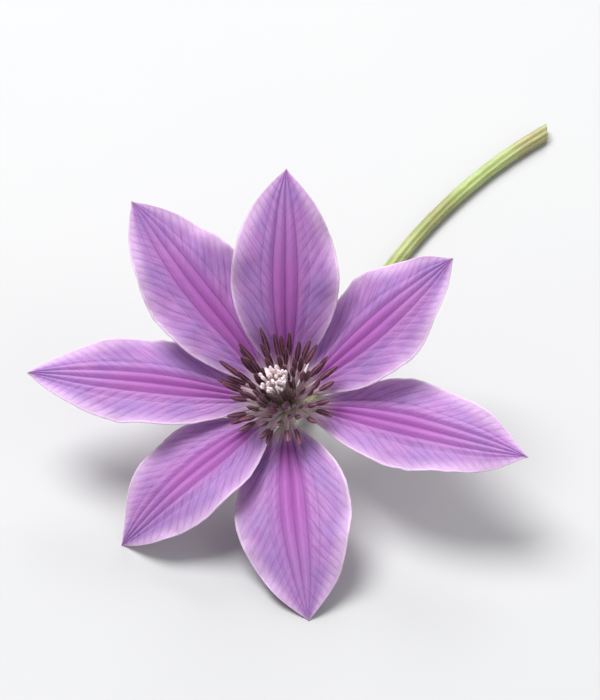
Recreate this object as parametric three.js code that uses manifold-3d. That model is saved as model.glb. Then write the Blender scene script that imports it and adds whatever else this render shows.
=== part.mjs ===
// A clematis flower as picked: one open bloom with seven tepals on its own cut stalk, lying on a flat
// surface. It rests on two tepal tips in front and on a stretch of the stalk behind them.
// Millimetres, +Z up. The origin is on the surface, under the middle of the flower's box.
import * as THREE from "three";
import { mergeVertices } from "three/addons/utils/BufferGeometryUtils.js";
import Module from "manifold-3d";

const wasm = await Module();
wasm.setup();

const { degToRad, smoothstep } = THREE.MathUtils;

// The bloom's own frame has its origin where the tepals spring from the receptacle and +Z along its
// axis. On the surface the axis leans over towards the front, where -Y is, and a little to the left.
const bloomLean = degToRad(28);
const leanTowards = degToRad(-107);
const baseHeight = 11.1;

// Tepals. Azimuth is measured round the bloom, and 90 points to the back. Climb is the blade's angle
// above the bloom's own plane at the claw, along the middle and at the tip, in degrees. Sweep bends the
// tip sideways by that share of the length.
const tepals = [
  { name: "tepal_1_left", azimuth: 172, length: 34.5, width: 14.5, roll: 15,
    climb: [32.5, 9.5, 4], sweep: 0.02, wave: 0.65, phase: 0.4 },
  { name: "tepal_2_back_left", azimuth: 126, length: 33.5, width: 16, roll: 15.5,
    climb: [29, 19.5, 12], sweep: -0.02, wave: 0.75, phase: 2.1 },
  { name: "tepal_3_back", azimuth: 82, length: 31.5, width: 15.5, roll: 9.5,
    climb: [49, 29, 8], sweep: 0.03, wave: 0.65, phase: 4.0 },
  { name: "tepal_4_back_right", azimuth: 29, length: 29.5, width: 16, roll: -12,
    climb: [30, 17.5, 16], sweep: 0.05, wave: 0.7, phase: 5.2 },
  { name: "tepal_5_right", azimuth: -18, length: 35, width: 14.5, roll: -14,
    climb: [25.5, 6, 2], sweep: -0.04, wave: 0.75, phase: 1.2 },
  { name: "tepal_6_front", azimuth: -86, length: 32, width: 16.8, roll: 6,
    climb: [32, 7.5, -15], sweep: 0.02, wave: 0.6, phase: 3.1 },
  { name: "tepal_7_front_left", azimuth: -137, length: 30.5, width: 15, roll: 14.5,
    climb: [40.5, 7.5, -38], sweep: -0.05, wave: 0.65, phase: 0 },
];
const clawRadius = 3.56;
const midThickness = 0.74;
const edgeThickness = 0.62;

// Outline: a narrow claw, a blade that is widest at its middle and stays full beyond it, and a tip that
// is drawn out at the very end.
const clawHalfWidth = 1.1;
const clawFade = 4;
const tipHalfWidth = 0.36;
const tipFade = 6;
const shoulder = 1.05;
const outerFullness = 0.38;
const tipDraw = 0.45;
const tipDrawFade = 10;

// Relief: three sunk veins with pleats between them, a channel that turns over towards the tip, and
// margins that wave more the further out they are. The two margins of a tepal wave out of step.
const pleatDepth = 0.16;
const pleatPitch = 0.22;
const pleatReach = 0.55;
const cupping = 0.018;
const cupReversal = 1.5;
const marginWaves = 2.6;
const marginOffset = 2.2;
const waveSharpness = 2.2;
const waveStart = 0.25;
const waveFull = 0.6;
const tepalSteps = 18;
const tepalColumns = [-1, -0.78, -0.54, -0.34, -0.22, -0.11, 0, 0.11, 0.22, 0.34, 0.54, 0.78, 1];

// Stalk, lying behind the bloom on the surface.
const stalkRadius = 1.05;
const cutEndRadius = 1.2;
const taperFrom = 0.6;
const stalkFlat = 0.15;
const landing = new THREE.Vector2(6.8, 18.5);
const landingHeading = degToRad(68);
const cutEnd = new THREE.Vector2(43, 71);
const cutEndHeading = degToRad(38);
const cutSlant = degToRad(35);
const dropLead = 7;
const landingLead = 8.5;
const runLead = 22;
const stalkSides = 12;
const stalkSteps = 40;

// Receptacle: the swollen end of the stalk, as radius and height along the bloom's axis.
const receptacleRadius = 3;
const receptacleTop = 0.6;
const receptacleProfile = [
  [stalkRadius, -3.2],
  [1.3, -2.2],
  [2.1, -1.3],
  [receptacleRadius, -0.6],
  [receptacleRadius, 0.2],
  [2.7, receptacleTop],
];
const receptacleSides = 28;
const seatGap = 0.3;

// Stamens stand in rings on a low collar. Lean is away from the bloom's axis, in degrees, at the foot
// and at the anther.
const stamenRings = [
  { count: 11, radius: 2.05, height: 1.9, length: 8.4, lean: [9, 4] },
  { count: 12, radius: 2.2, height: 1.7, length: 9, lean: [28, 15] },
  { count: 14, radius: 2.45, height: 1.4, length: 9.6, lean: [50, 32] },
];
const collarInner = 1.6;
const collarProfile = [
  [collarInner, receptacleTop + seatGap],
  [2.75, receptacleTop + seatGap],
  [2.7, 1.7],
  [2.2, 2.3],
  [collarInner, 2.5],
];
const stamenRadii = [0.34, 0.3, 0.3, 0.3, 0.54, 0.54, 0.24];
const stamenSides = 5;

// Pistil: a small heap of carpels with a tuft of styles that spreads at its top.
const carpelProfile = [
  [1.2, receptacleTop + seatGap],
  [1.28, 1.8],
  [1.1, 2.8],
  [0.7, 3.5],
];
const styleRings = [
  { count: 1, radius: 0, height: 2.6, length: 9.6, lean: [0, 4] },
  { count: 6, radius: 0.45, height: 2.4, length: 9.6, lean: [0, 8] },
  { count: 9, radius: 0.78, height: 2, length: 9.8, lean: [0, 10] },
];
const styleRadii = [0.34, 0.32, 0.3, 0.3, 0.34, 0.2];
const styleSides = 4;

// A seeded draw between -1 and 1, so that every run grows the same flower.
let seed = 20261;
function draw() {
  seed = (seed * 1103515245 + 12345) % 2147483648;
  return (seed / 2147483648) * 2 - 1;
}

// A closed geometry as a solid.
function solidOf(geometry) {
  const bare = new THREE.BufferGeometry();
  bare.setAttribute("position", geometry.getAttribute("position"));
  if (geometry.index) bare.setIndex(geometry.index);
  const merged = mergeVertices(bare, 1e-4);
  return new wasm.Manifold(
    new wasm.Mesh({
      numProp: 3,
      vertProperties: new Float32Array(merged.getAttribute("position").array),
      triVerts: new Uint32Array(merged.index.array),
    }),
  );
}

function geometryOf(solid) {
  const mesh = solid.getMesh();
  const geometry = new THREE.BufferGeometry();
  geometry.setAttribute("position", new THREE.BufferAttribute(mesh.vertProperties, 3));
  geometry.setIndex(new THREE.BufferAttribute(mesh.triVerts, 1));
  geometry.computeVertexNormals();
  return geometry;
}

// A round solid about +Z from pairs of radius and height.
function turned(profile, sides, { hole = false } = {}) {
  const points = profile.map(([radius, height]) => new THREE.Vector2(radius, height));
  if (hole) {
    points.push(points[0].clone());
  } else {
    points.unshift(new THREE.Vector2(0, profile[0][1]));
    points.push(new THREE.Vector2(0, profile.at(-1)[1]));
  }
  return new THREE.LatheGeometry(points, sides).rotateX(Math.PI / 2);
}

// A round solid along a curve, with its radius at even steps: a lathe whose axis is bent to the curve.
function bentLathe(curve, radii, sides) {
  const steps = radii.length - 1;
  const profile = radii.map((radius, step) => new THREE.Vector2(radius, step));
  profile.unshift(new THREE.Vector2(0, 0));
  profile.push(new THREE.Vector2(0, steps));
  const geometry = new THREE.LatheGeometry(profile, sides);
  const frames = curve.computeFrenetFrames(steps);
  const position = geometry.getAttribute("position");
  const at = new THREE.Vector3();
  for (let i = 0; i < position.count; i++) {
    at.fromBufferAttribute(position, i);
    const step = Math.round(at.y);
    const moved = curve
      .getPointAt(step / steps)
      .addScaledVector(frames.binormals[step], at.x)
      .addScaledVector(frames.normals[step], at.z);
    position.setXYZ(i, moved.x, moved.y, moved.z);
  }
  return geometry;
}

// A curve that leaves a ring round the bloom's axis at one lean and ends at another.
function growth(azimuth, radius, height, length, leanFoot, leanTip) {
  const outwards = new THREE.Vector3(Math.cos(azimuth), Math.sin(azimuth), 0);
  const heading = (lean) =>
    new THREE.Vector3(0, 0, Math.cos(degToRad(lean))).addScaledVector(outwards, Math.sin(degToRad(lean)));
  const foot = outwards.clone().multiplyScalar(radius).setZ(height);
  const bend = foot.clone().addScaledVector(heading(leanFoot), length / 2);
  const tip = bend.clone().addScaledVector(heading(leanTip), length / 2);
  return new THREE.QuadraticBezierCurve3(foot, bend, tip);
}

// Every ring's shoots, each a little off its place.
function ringsOf(rings, radii, sides, { turn, tilt, stretch }) {
  return rings.flatMap((ring, index) =>
    Array.from({ length: ring.count }, (_, i) => {
      const azimuth = ((i + index / 2) / ring.count) * 2 * Math.PI + degToRad(turn * draw());
      const leanMore = tilt * draw();
      const length = ring.length * (1 + stretch * draw());
      const [foot, tip] = ring.lean.map((lean) => lean + leanMore);
      return solidOf(bentLathe(growth(azimuth, ring.radius, ring.height, length, foot, tip), radii, sides));
    }),
  );
}

function halfWidth(tepal, u) {
  const claw = clawHalfWidth * (1 - u) ** clawFade;
  const slimness = shoulder - outerFullness * u + tipDraw * u ** tipDrawFade;
  const blade = (tepal.width / 2) * Math.sin(Math.PI * u) ** slimness;
  return claw + blade + tipHalfWidth * u ** tipFade;
}

function climbAt(tepal, u) {
  const [claw, middle, tip] = tepal.climb;
  return degToRad((1 - u) ** 2 * claw + 2 * u * (1 - u) * middle + u ** 2 * tip);
}

// How far the blade stands off its flat outline, at v across it and at that place's distance across.
function relief(tepal, u, v, across) {
  const fade = 1 - smoothstep(Math.abs(v), pleatPitch, pleatReach);
  const pleat = -pleatDepth * fade * Math.cos((2 * Math.PI * v) / pleatPitch) * Math.sin(Math.PI * u) ** 0.5;
  const cup = cupping * (1 - cupReversal * u) * across ** 2;
  const phase = tepal.phase + (v < 0 ? marginOffset : 0);
  const swell = smoothstep(u, waveStart, waveFull) * (1 - u ** 8) * Math.abs(v) ** waveSharpness;
  return pleat + cup + tepal.wave * swell * Math.sin(2 * Math.PI * marginWaves * u + phase);
}

// The blade's middle surface in the tepal's own frame: +X outwards, +Z up along the bloom's axis.
// u runs from the claw to the tip, and v from one margin to the other.
function bladePoint(tepal, u, v) {
  const pieces = 24;
  let reach = clawRadius;
  let rise = 0;
  for (let i = 0; i < pieces; i++) {
    const climb = climbAt(tepal, ((i + 0.5) / pieces) * u);
    reach += (Math.cos(climb) * tepal.length * u) / pieces;
    rise += (Math.sin(climb) * tepal.length * u) / pieces;
  }
  const climb = climbAt(tepal, u);
  const roll = degToRad(tepal.roll);
  const across = v * halfWidth(tepal, u);
  const lift = relief(tepal, u, v, across);
  const sideways = across * Math.cos(roll) - lift * Math.sin(roll);
  const upwards = across * Math.sin(roll) + lift * Math.cos(roll);
  return new THREE.Vector3(
    reach - upwards * Math.sin(climb),
    sideways + tepal.sweep * tepal.length * u ** 2,
    rise + upwards * Math.cos(climb),
  );
}

function bladeNormal(tepal, u, v) {
  const step = 1e-3;
  const inwards = bladePoint(tepal, Math.max(u - step, 0), v);
  const outwards = bladePoint(tepal, Math.min(u + step, 1), v);
  const right = bladePoint(tepal, u, Math.max(v - step, -1));
  const left = bladePoint(tepal, u, Math.min(v + step, 1));
  return outwards.sub(inwards).cross(left.sub(right)).normalize();
}

// The blade as a closed grid: both faces are split into triangles alike, with walls round the margin.
function tepalGeometry(tepal) {
  const columns = tepalColumns.length;
  const rows = tepalSteps + 1;
  const top = [];
  const bottom = [];
  for (let row = 0; row < rows; row++) {
    for (const v of tepalColumns) {
      const u = row / tepalSteps;
      const half = THREE.MathUtils.lerp(midThickness, edgeThickness, Math.abs(v)) / 2;
      const normal = bladeNormal(tepal, u, v);
      top.push(bladePoint(tepal, u, v).addScaledVector(normal, half));
      bottom.push(bladePoint(tepal, u, v).addScaledVector(normal, -half));
    }
  }
  const index = [];
  const under = top.length;
  for (let row = 0; row < rows - 1; row++) {
    for (let column = 0; column < columns - 1; column++) {
      const a = row * columns + column;
      const [b, c, d] = [a + 1, a + columns + 1, a + columns];
      index.push(a, d, c, a, c, b);
      index.push(under + a, under + c, under + d, under + a, under + b, under + c);
    }
  }
  const wall = (a, b) => index.push(a, b, under + b, a, under + b, under + a);
  for (let column = 0; column < columns - 1; column++) {
    wall(column, column + 1);
    wall((rows - 1) * columns + column + 1, (rows - 1) * columns + column);
  }
  for (let row = 0; row < rows - 1; row++) {
    wall((row + 1) * columns, row * columns);
    wall(row * columns + columns - 1, (row + 1) * columns + columns - 1);
  }
  const geometry = new THREE.BufferGeometry().setFromPoints([...top, ...bottom]);
  geometry.setIndex(index);
  return geometry;
}

// The stalk drops from the receptacle in one bend, then runs along the surface to its cut end.
function stalkCurve(bloom) {
  const heading = (angle) => new THREE.Vector3(Math.cos(angle), Math.sin(angle), 0);
  const axis = new THREE.Vector3(0, 0, 1).transformDirection(bloom.matrix);
  const start = new THREE.Vector3(0, 0, receptacleProfile[1][1]).applyMatrix4(bloom.matrix);
  const touch = new THREE.Vector3(landing.x, landing.y, stalkRadius - stalkFlat);
  const end = new THREE.Vector3(cutEnd.x, cutEnd.y, cutEndRadius - stalkFlat);
  const drop = new THREE.CubicBezierCurve3(
    start,
    start.clone().addScaledVector(axis, -dropLead),
    touch.clone().addScaledVector(heading(landingHeading), -landingLead),
    touch,
  );
  const run = new THREE.CubicBezierCurve3(
    touch,
    touch.clone().addScaledVector(heading(landingHeading), runLead),
    end.clone().addScaledVector(heading(cutEndHeading), -runLead),
    end,
  );
  const points = [...drop.getSpacedPoints(12), ...run.getSpacedPoints(14).slice(1)];
  return new THREE.CatmullRomCurve3(points, false, "centripetal");
}

function stalkGeometry(bloom) {
  const radii = Array.from({ length: stalkSteps + 1 }, (_, step) => {
    const taper = smoothstep(step / stalkSteps, taperFrom, 1);
    return THREE.MathUtils.lerp(stalkRadius, cutEndRadius, taper);
  });
  const stem = solidOf(bentLathe(stalkCurve(bloom), radii, stalkSides));
  const receptacle = solidOf(turned(receptacleProfile, receptacleSides).applyMatrix4(bloom.matrix));
  const cutAway = new THREE.BoxGeometry(10, 10, 10)
    .translate(5, 0, 0)
    .rotateZ(cutEndHeading - cutSlant)
    .translate(cutEnd.x - cutEndRadius, cutEnd.y - cutEndRadius, 0);
  return geometryOf(stem.add(receptacle).subtract(solidOf(cutAway)));
}

function stamensGeometry() {
  const stamens = ringsOf(stamenRings, stamenRadii, stamenSides, { turn: 5, tilt: 4, stretch: 0.06 });
  const collar = solidOf(turned(collarProfile, receptacleSides, { hole: true }));
  return geometryOf(wasm.Manifold.union([collar, ...stamens]));
}

function pistilGeometry() {
  const styles = ringsOf(styleRings, styleRadii, styleSides, { turn: 6, tilt: 2, stretch: 0.05 });
  const carpels = solidOf(turned(carpelProfile, receptacleSides));
  return geometryOf(wasm.Manifold.union([carpels, ...styles]));
}

// Takes off what would sink into the surface, as soft tissue is pressed flat where it lies.
function press(mesh) {
  const ground = new THREE.BoxGeometry(400, 400, 40).translate(0, 0, -20);
  ground.applyMatrix4(mesh.matrixWorld.clone().invert());
  mesh.geometry = geometryOf(solidOf(mesh.geometry).subtract(solidOf(ground)));
}

function named(name, geometry, color, roughness) {
  const mesh = new THREE.Mesh(geometry, new THREE.MeshStandardMaterial({ color, roughness, metalness: 0 }));
  mesh.name = name;
  return mesh;
}

const flower = new THREE.Group();
const bloom = new THREE.Group();
bloom.position.z = baseHeight;
bloom.rotateOnAxis(new THREE.Vector3(-Math.sin(leanTowards), Math.cos(leanTowards), 0), bloomLean);
bloom.updateMatrix();
flower.add(bloom);

for (const tepal of tepals) {
  const blade = named(tepal.name, tepalGeometry(tepal), 0xb478c8, 0.55);
  blade.rotation.z = degToRad(tepal.azimuth);
  bloom.add(blade);
}
bloom.add(named("stamens", stamensGeometry(), 0x6b3d55, 0.6));
bloom.add(named("pistil", pistilGeometry(), 0xf0e2d6, 0.7));
flower.add(named("stalk", stalkGeometry(bloom), 0x6f7d46, 0.6));

flower.updateMatrixWorld(true);
for (const name of ["tepal_6_front", "tepal_7_front_left", "stalk"]) {
  press(flower.getObjectByName(name));
}

// The origin goes under the middle of the box.
const middle = new THREE.Box3().setFromObject(flower, true).getCenter(new THREE.Vector3());
flower.position.set(-middle.x, -middle.y, 0);

export default flower;
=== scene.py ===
# The clematis flower's finish: velvety tepals, stamens, styles and the ribbed stalk, on a pale table.
import math
import random

import bmesh
import bpy
from mathutils import Matrix, Vector, noise


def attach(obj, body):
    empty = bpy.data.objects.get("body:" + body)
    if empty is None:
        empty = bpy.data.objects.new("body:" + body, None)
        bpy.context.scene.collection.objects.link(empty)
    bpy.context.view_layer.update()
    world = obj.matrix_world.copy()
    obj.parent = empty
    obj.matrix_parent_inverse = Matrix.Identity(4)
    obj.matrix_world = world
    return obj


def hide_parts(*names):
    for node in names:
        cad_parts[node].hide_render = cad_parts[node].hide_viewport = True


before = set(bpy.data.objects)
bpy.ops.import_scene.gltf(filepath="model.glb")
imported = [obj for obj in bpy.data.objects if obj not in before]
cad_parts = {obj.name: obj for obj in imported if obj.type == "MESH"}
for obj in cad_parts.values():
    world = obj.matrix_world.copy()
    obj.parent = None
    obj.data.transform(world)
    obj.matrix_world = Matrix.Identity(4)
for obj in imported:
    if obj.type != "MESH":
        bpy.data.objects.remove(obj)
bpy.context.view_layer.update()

mm = 0.001            # the flower's numbers are in millimetres, and each piece is scaled at its end
samePoint = 1e-6      # points closer than this give no direction
mergeGap = 1e-4       # points closer than this become one
surfaceGap = 0.012    # the lowest points stand this far above the table

# The bloom's own frame: its origin is where the tepals spring, and +Z runs along its axis.
bloomPlace = {
    "foot": (-2.2539, -19.2528),
    "height": 11.1,
    "lean": 28,
    "leanTowards": -107,
}


def bloomFrame(place):
    towards = math.radians(place["leanTowards"])
    tiltAxis = Vector((-math.sin(towards), math.cos(towards), 0))
    upright = Matrix.Translation((*place["foot"], place["height"]))
    return upright @ Matrix.Rotation(math.radians(place["lean"]), 4, tiltAxis)


bloom = bloomFrame(bloomPlace)
bloomAxis = bloom.to_3x3() @ Vector((0, 0, 1))
bloomFoot = Vector((*bloomPlace["foot"], 0))


def levelHeading(angle):
    return Vector((math.cos(angle), math.sin(angle), 0))


def ease(value, low, high):
    t = min(max((value - low) / (high - low), 0), 1)
    return t * t * (3 - 2 * t)


def lerp(a, b, t):
    return a + (b - a) * t


# Small helpers for node trees

def tint(red, green, blue):
    # a colour as a paint program shows it, made linear
    channels = [c / 255 for c in (red, green, blue)]
    return (*[c / 12.92 if c < 0.04045 else ((c + 0.055) / 1.055) ** 2.4 for c in channels], 1)


def palette(colours):
    return {name: tint(*colour) for name, colour in colours.items()}


def newTree(name):
    material = bpy.data.materials.new(name)
    material.use_nodes = True
    material.node_tree.nodes.clear()
    return material, material.node_tree


def plug(tree, value, socket):
    if isinstance(value, bpy.types.NodeSocket):
        tree.links.new(value, socket)
    else:
        socket.default_value = value


def calc(tree, operation, a, b=0.0, c=0.0):
    made = tree.nodes.new("ShaderNodeMath")
    made.operation = operation
    for value, socket in zip((a, b, c), made.inputs):
        plug(tree, value, socket)
    return made.outputs[0]


def total(tree, *values):
    result = values[0]
    for value in values[1:]:
        result = calc(tree, "ADD", result, value)
    return result


def product(tree, *values):
    result = values[0]
    for value in values[1:]:
        result = calc(tree, "MULTIPLY", result, value)
    return result


def less(tree, value, amount):
    return calc(tree, "SUBTRACT", value, amount)


def distanceFrom(tree, value, place):
    return calc(tree, "ABSOLUTE", less(tree, value, place))


def fade(tree, value, low, high, start=0.0, end=1.0):
    made = tree.nodes.new("ShaderNodeMapRange")
    made.interpolation_type = "SMOOTHSTEP"
    for name, number in zip(("From Min", "From Max", "To Min", "To Max"), (low, high, start, end)):
        made.inputs[name].default_value = number
    plug(tree, value, made.inputs["Value"])
    return made.outputs[0]


def paintOver(tree, share, under, over, mode="MIX"):
    made = tree.nodes.new("ShaderNodeMix")
    made.data_type = "RGBA"
    made.blend_type = mode
    plug(tree, share, made.inputs[0])
    plug(tree, under, made.inputs[6])
    plug(tree, over, made.inputs[7])
    return made.outputs[2]


def grain(tree, where, scale, detail=2.0, rough=0.5):
    made = tree.nodes.new("ShaderNodeTexNoise")
    made.inputs["Scale"].default_value = scale
    made.inputs["Detail"].default_value = detail
    made.inputs["Roughness"].default_value = rough
    plug(tree, where, made.inputs["Vector"])
    return made.outputs[0]


def streaks(tree, x, xScale, y, yScale, detail=3.0, rough=0.6):
    # a noise that is drawn out along one of its ways
    stretched = join(tree, product(tree, x, xScale), product(tree, y, yScale))
    return grain(tree, stretched, 1.0, detail, rough)


def fray(tree, value, noiseValue, amount):
    # a value that a noise moves up and down, for ragged edges
    return total(tree, value, product(tree, less(tree, noiseValue, 0.5), amount))


def cells(tree, where, scale, feature="DISTANCE_TO_EDGE"):
    made = tree.nodes.new("ShaderNodeTexVoronoi")
    made.feature = feature
    made.inputs["Scale"].default_value = scale
    plug(tree, where, made.inputs["Vector"])
    return made.outputs["Distance"]


def mapOf(tree, name):
    made = tree.nodes.new("ShaderNodeUVMap")
    made.uv_map = name
    return made.outputs["UV"]


def attribute(tree, name):
    made = tree.nodes.new("ShaderNodeAttribute")
    made.attribute_name = name
    return made.outputs["Fac"]


def objectSpot(tree, centre=(0, 0, 0), turn=(0, 0, 0)):
    # object coordinates in millimetres, about a centre of the piece
    spot = tree.nodes.new("ShaderNodeTexCoord")
    place = tree.nodes.new("ShaderNodeMapping")
    place.vector_type = "TEXTURE"
    place.inputs["Location"].default_value = [c * mm for c in centre]
    place.inputs["Rotation"].default_value = turn
    place.inputs["Scale"].default_value = (mm, mm, mm)
    tree.links.new(spot.outputs["Object"], place.inputs["Vector"])
    return place.outputs["Vector"]


def split(tree, vector, axes):
    # only the named axes, such as "XY"
    made = tree.nodes.new("ShaderNodeSeparateXYZ")
    plug(tree, vector, made.inputs[0])
    return [made.outputs[axis] for axis in axes]


def join(tree, x, y, z=0.0):
    made = tree.nodes.new("ShaderNodeCombineXYZ")
    for value, socket in zip((x, y, z), made.inputs):
        plug(tree, value, socket)
    return made.outputs[0]


def bumpFrom(tree, height):
    # height is in millimetres
    made = tree.nodes.new("ShaderNodeBump")
    made.inputs["Strength"].default_value = 1.0
    made.inputs["Distance"].default_value = mm
    plug(tree, height, made.inputs["Height"])
    return made.outputs["Normal"]


def surface(tree, colour, roughness, normal=None, through=0.0, throughColour=None, **settings):
    # a principled surface, mixed with light that comes through where the tissue is thin
    skin = tree.nodes.new("ShaderNodeBsdfPrincipled")
    plug(tree, colour, skin.inputs["Base Color"])
    plug(tree, roughness, skin.inputs["Roughness"])
    for name, value in settings.items():
        skin.inputs[name.replace("_", " ")].default_value = value
    if normal is not None:
        plug(tree, normal, skin.inputs["Normal"])
    shader = skin.outputs[0]
    if through > 0:
        glow = tree.nodes.new("ShaderNodeBsdfTranslucent")
        plug(tree, throughColour if throughColour is not None else colour, glow.inputs["Color"])
        mix = tree.nodes.new("ShaderNodeMixShader")
        mix.inputs[0].default_value = through
        tree.links.new(shader, mix.inputs[1])
        tree.links.new(glow.outputs[0], mix.inputs[2])
        shader = mix.outputs[0]
    out = tree.nodes.new("ShaderNodeOutputMaterial")
    tree.links.new(shader, out.inputs["Surface"])


# Small helpers for meshes

def firstApart(points, point):
    # the first point that doesn't lie on the given one
    return next((p for p in points if (p - point).length > samePoint), point)


def growTube(bm, rings, outline, sides, mapLayer, material=0, squareTo=Vector((0, 0, 1))):
    # A grid wrapped round a path. rings holds (point, along) pairs, and outline(turn, along, row) gives
    # how far a point stands to the side and to the front. A ring of no size closes an end.
    rows = len(rings) - 1
    points = [point for point, along in rings]
    frames = []
    side = None
    for i, point in enumerate(points):
        before = firstApart(points[:i][::-1], point)
        after = firstApart(points[i + 1:], point)
        tangent = (after - before).normalized()
        if side is None:
            side = squareTo.cross(tangent)
            side = side if side.length > 1e-3 else Vector((1, 0, 0)).cross(tangent)
        side = (side - tangent * side.dot(tangent)).normalized()
        frames.append((side, tangent.cross(side)))
    grid = bmesh.ops.create_grid(bm, x_segments=sides, y_segments=rows, size=1)
    verts = grid["verts"]
    faces = {face for vert in verts for face in vert.link_faces}
    spots = {vert: ((vert.co.x + 1) / 2, round((vert.co.y + 1) / 2 * rows)) for vert in verts}
    for face in faces:
        face.material_index = material
        for loop in face.loops:
            turn, row = spots[loop.vert]
            loop[mapLayer].uv = (turn, rings[row][1])
    for vert, (turn, row) in spots.items():
        side, front = frames[row]
        x, y = outline(turn % 1 * math.tau, rings[row][1], row)
        vert.co = points[row] + side * x + front * y
    bmesh.ops.remove_doubles(bm, verts=verts, dist=mergeGap)
    return points, frames


def ringsAlong(at, start, end, rows, capped):
    # Even rings on the curve at(t), as growTube takes them. A capped path has its ends twice.
    path = [(at(lerp(start, end, i / rows)), i / rows) for i in range(rows + 1)]
    return [path[0], *path, path[-1]] if capped else path


def roundOutline(radius, turn):
    return radius * math.cos(turn), radius * math.sin(turn)


def addHair(bm, root, direction, length, thickness, material):
    # a three-sided spike with its foot sunk in the skin
    lie = direction.to_track_quat("Z", "Y").to_matrix().to_4x4()
    place = Matrix.Translation(root + direction * (length / 2 - thickness)) @ lie
    made = bmesh.ops.create_cone(
        bm, cap_ends=True, cap_tris=True, segments=3,
        radius1=thickness / 2, radius2=0, depth=length, matrix=place,
    )
    for face in {face for vert in made["verts"] for face in vert.link_faces}:
        face.material_index = material


def faceOutwards(bm):
    # recalculated, and then each thin shell that came out inside out is turned round
    bmesh.ops.recalc_face_normals(bm, faces=bm.faces)
    left = set(bm.faces)
    while left:
        shell = [left.pop()]
        for face in shell:
            for other in {near for edge in face.edges for near in edge.link_faces} & left:
                left.remove(other)
                shell.append(other)
        start = shell[0].verts[0].co
        volume = sum(face.normal.dot(face.verts[0].co - start) * face.calc_area() for face in shell)
        if volume < 0:
            bmesh.ops.reverse_faces(bm, faces=shell)


def makePiece(bm, name, materials, node):
    faceOutwards(bm)
    bmesh.ops.scale(bm, vec=(mm, mm, mm), verts=bm.verts)
    for face in bm.faces:
        face.smooth = True
    mesh = bpy.data.meshes.new(name)
    bm.to_mesh(mesh)
    bm.free()
    for material in materials:
        mesh.materials.append(material)
    piece = bpy.data.objects.new(name, mesh)
    bpy.context.scene.collection.objects.link(piece)
    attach(piece, "root")
    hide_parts(node)
    print(name, "has", sum(len(face.vertices) - 2 for face in mesh.polygons), "triangles")


# Tepals. Azimuth is measured round the bloom, and climb is the blade's angle above the bloom's plane
# at the claw, along the middle and at the tip.
tepals = [
    {"name": "tepalLeft", "node": "tepal_1_left", "azimuth": 172, "length": 34.5, "width": 14.5,
     "roll": 15, "climb": (32.5, 9.5, 4), "sweep": 0.02, "wave": 0.65, "phase": 0.4},
    {"name": "tepalBackLeft", "node": "tepal_2_back_left", "azimuth": 126, "length": 33.5, "width": 16,
     "roll": 15.5, "climb": (29, 19.5, 12), "sweep": -0.02, "wave": 0.75, "phase": 2.1},
    {"name": "tepalBack", "node": "tepal_3_back", "azimuth": 82, "length": 31.5, "width": 15.5,
     "roll": 9.5, "climb": (49, 29, 8), "sweep": 0.03, "wave": 0.65, "phase": 4.0},
    {"name": "tepalBackRight", "node": "tepal_4_back_right", "azimuth": 29, "length": 29.5, "width": 16,
     "roll": -12, "climb": (30, 17.5, 16), "sweep": 0.05, "wave": 0.7, "phase": 5.2},
    {"name": "tepalRight", "node": "tepal_5_right", "azimuth": -18, "length": 35, "width": 14.5,
     "roll": -14, "climb": (25.5, 6, 2), "sweep": -0.04, "wave": 0.75, "phase": 1.2},
    {"name": "tepalFront", "node": "tepal_6_front", "azimuth": -86, "length": 32, "width": 16.8,
     "roll": 6, "climb": (32, 7.5, -15), "sweep": 0.02, "wave": 0.6, "phase": 3.1},
    {"name": "tepalFrontLeft", "node": "tepal_7_front_left", "azimuth": -137, "length": 30.5, "width": 15,
     "roll": 14.5, "climb": (40.5, 7.5, -38), "sweep": -0.05, "wave": 0.65, "phase": 0.0},
]

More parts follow.
